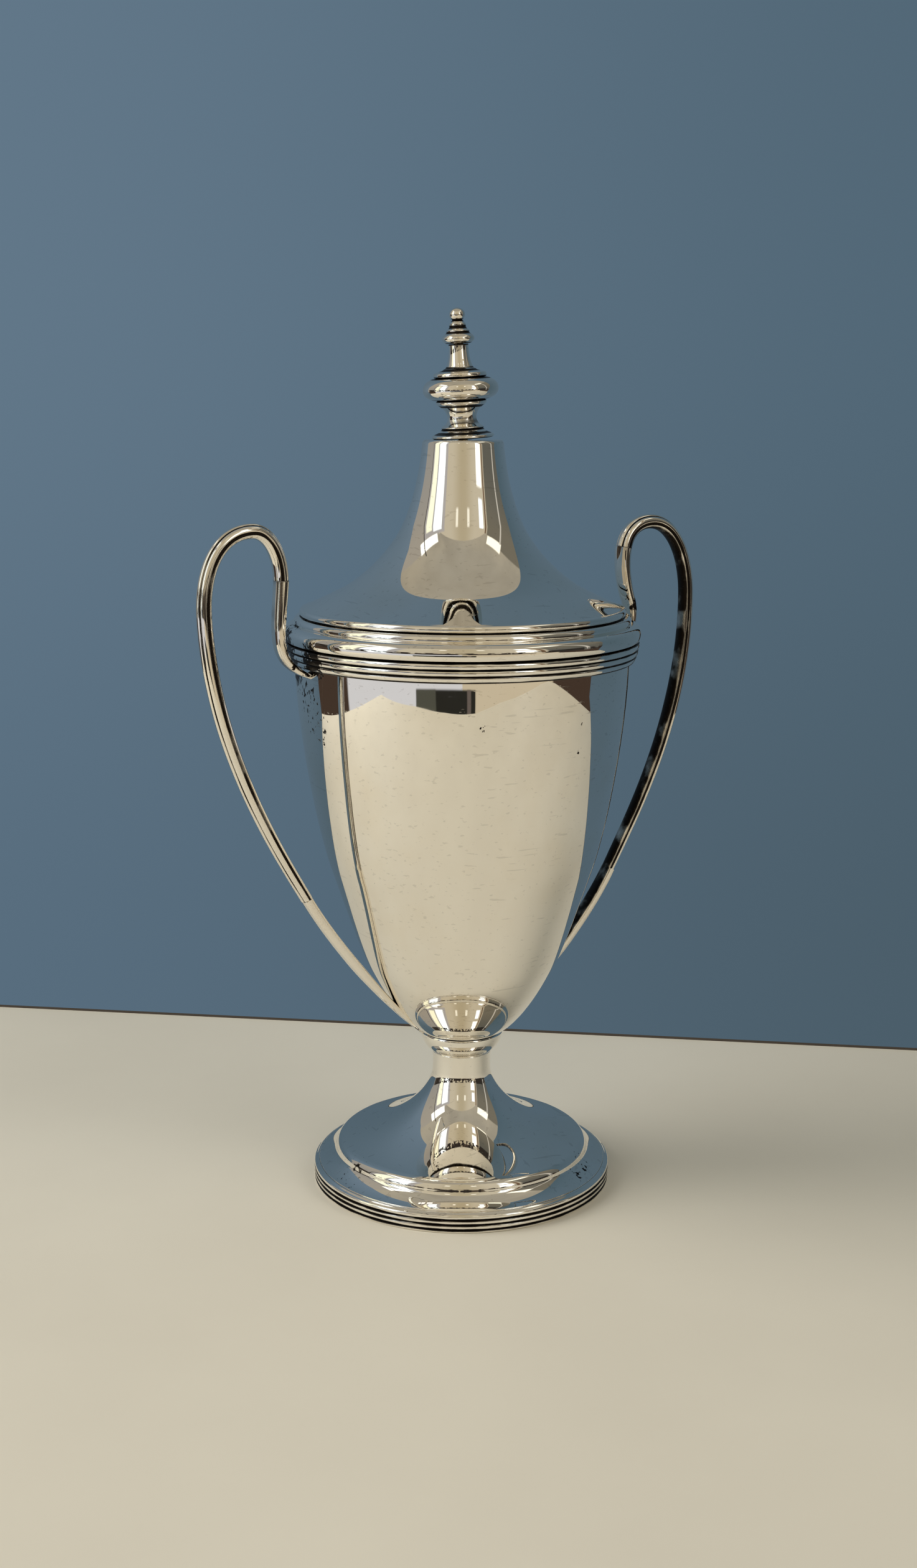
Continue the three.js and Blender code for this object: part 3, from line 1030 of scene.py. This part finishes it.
# Below the level of the table: brown at the sides, and a dark opening in the pale front.
LOW_PATCHES = (
    (-98, 119, -60, 0, 2, (0.055, 0.036, 0.026)),
    (-207, -148.5, -60, -8.2, 1, (0.022, 0.021, 0.017)),
    (171, 200, -60, -8.2, 1, (0.022, 0.021, 0.017)),
    (-163, -148.5, -60, -8.2, 1, (0.075, 0.075, 0.058)),
    (174, 177.5, -60, -8.2, 1, (0.13, 0.105, 0.09)),
)
# Degrees in a radian, and the shell's size in metres.
DEGREES = 57.3
ROOM_RADIUS = 3.2


def make_room():
    """A glowing shell with the room's soft tones, for the silver to mirror. The camera looks through it."""
    material, g, glow = glow_material("room_shell")
    normal = g.nodes.new("ShaderNodeVectorMath")
    normal.operation = "NORMALIZE"
    g.put(normal.inputs[0], g.place())
    place = normal.outputs["Vector"]
    away, side, height = g.dot(place, AWAY), g.dot(place, ACROSS), g.dot(place, UP)
    around = g.calc("MULTIPLY", g.calc("ARCTAN2", side, away), DEGREES)
    above = g.calc("MULTIPLY", g.calc("ARCSINE", height), DEGREES)
    spread = g.calc("ABSOLUTE", around)

    front = g.blend(g.step(spread, 150, 178), (0.55, 0.49, 0.37), (0.45, 0.385, 0.26))
    left_wall = g.blend(g.step(above, 10, 50), (0.31, 0.295, 0.27), (0.36, 0.33, 0.28))
    right_wall = g.blend(g.step(above, 12, 45), (0.115, 0.112, 0.095), (0.17, 0.155, 0.12))
    sides = g.blend(g.step(around, -5, 5), left_wall, right_wall)
    walls = g.blend(g.step(spread, 124, 127), sides, front)
    ceiling = g.blend(g.step(above, 56, 74), (0.40, 0.36, 0.28), (0.36, 0.33, 0.265))
    ceiling = g.blend(g.step(g.noise(place, 3.0), 0.35, 0.7), ceiling, (0.32, 0.29, 0.23))
    behind = g.calc("MULTIPLY", away, -1.0)
    beside = g.calc("MULTIPLY", g.calc("ABSOLUTE", side), 0.8)
    over = g.calc("SUBTRACT", height, g.calc("MULTIPLY", g.calc("MAXIMUM", behind, beside), 1.8))
    tone = g.blend(g.step(over, -0.01, 0.03), walls, ceiling)
    for *box, colour in ROOM_PATCHES:
        tone = g.blend(g.patch(around, above, *box), tone, colour)
    # dark clutter along the sides
    clutter = g.calc("MULTIPLY", g.step(g.noise(place, 8, 2), 0.46, 0.5), g.step(spread, 70, 75))
    rows = g.calc("MULTIPLY", g.step(above, -6, -5), g.step(above, 10, 9))
    tone = g.blend(g.calc("MULTIPLY", clutter, rows), tone, (0.03, 0.024, 0.02))
    low = g.blend(g.step(around, -60, 60), (0.63, 0.63, 0.65), (0.56, 0.48, 0.345))
    for *box, colour in LOW_PATCHES:
        low = g.blend(g.patch(around, above, *box), low, colour)
    tone = g.blend(g.step(above, -4, -5), tone, low)
    g.put(glow, tone)
    bpy.ops.mesh.primitive_uv_sphere_add(segments=32, ring_count=16, radius=ROOM_RADIUS)
    room = bpy.context.object
    room.name = "room_shell"
    room.data.materials.append(material)
    room.visible_camera = False
    room.visible_shadow = False


def make_world():
    """The blue-grey wall that the camera sees, with painted light across it."""
    world = bpy.data.worlds.new("backdrop")
    scene.world = world
    world.use_nodes = True
    g = Graph(world.node_tree)
    place = g.place("Generated")
    side, height = g.dot(place, ACROSS), g.dot(place, UP)
    # painted light: the wall is lighter on the left, where the window light falls, and darker to the right
    # and lower down
    wall = g.blend(g.step(side, -0.3, 0.3), (0.122, 0.186, 0.25), (0.084, 0.136, 0.182))
    low = g.blend(g.step(side, -0.3, 0.3), (0.098, 0.154, 0.21), (0.070, 0.110, 0.142))
    g.put(g.nodes["Background"].inputs["Color"], g.blend(g.step(height, -0.32, 0.06), low, wall))


# The point that every light faces, in metres.
LIGHT_AIM = Vector((0, 0, 0.12))


def soft_light(name, azimuth, elevation, distance, size_x, size_y, power, colour):
    """An area light this far off, with azimuth 0 away from the camera and -90 to its left."""
    light = bpy.data.lights.new(name, "AREA")
    light.shape = "RECTANGLE"
    light.size = size_x
    light.size_y = size_y
    light.energy = power
    light.color = colour
    obj = bpy.data.objects.new(name, light)
    scene.collection.objects.link(obj)
    a, e = math.radians(azimuth), math.radians(elevation)
    flat = distance * math.cos(e)
    obj.location = spot(flat * math.sin(a), flat * math.cos(a), distance * math.sin(e))
    obj.rotation_mode = "QUATERNION"
    obj.rotation_quaternion = (LIGHT_AIM - obj.location).to_track_quat("-Z", "Y")
    obj.visible_camera = False
    obj.visible_glossy = False


make_table()
make_board()
make_room()
make_world()
make_painted_junction_shade()
soft_light("light_left", -95, 34, 1.9, 1.15, 1.9, 25.5, (1.0, 0.975, 0.95))
soft_light("light_right", 120, 33, 2.0, 0.9, 1.4, 7, (1.0, 0.97, 0.94))
soft_light("light_above", 20, 84, 1.35, 1.0, 1.0, 0.7, (0.88, 0.93, 1.0))

scene.view_settings.view_transform = "Standard"
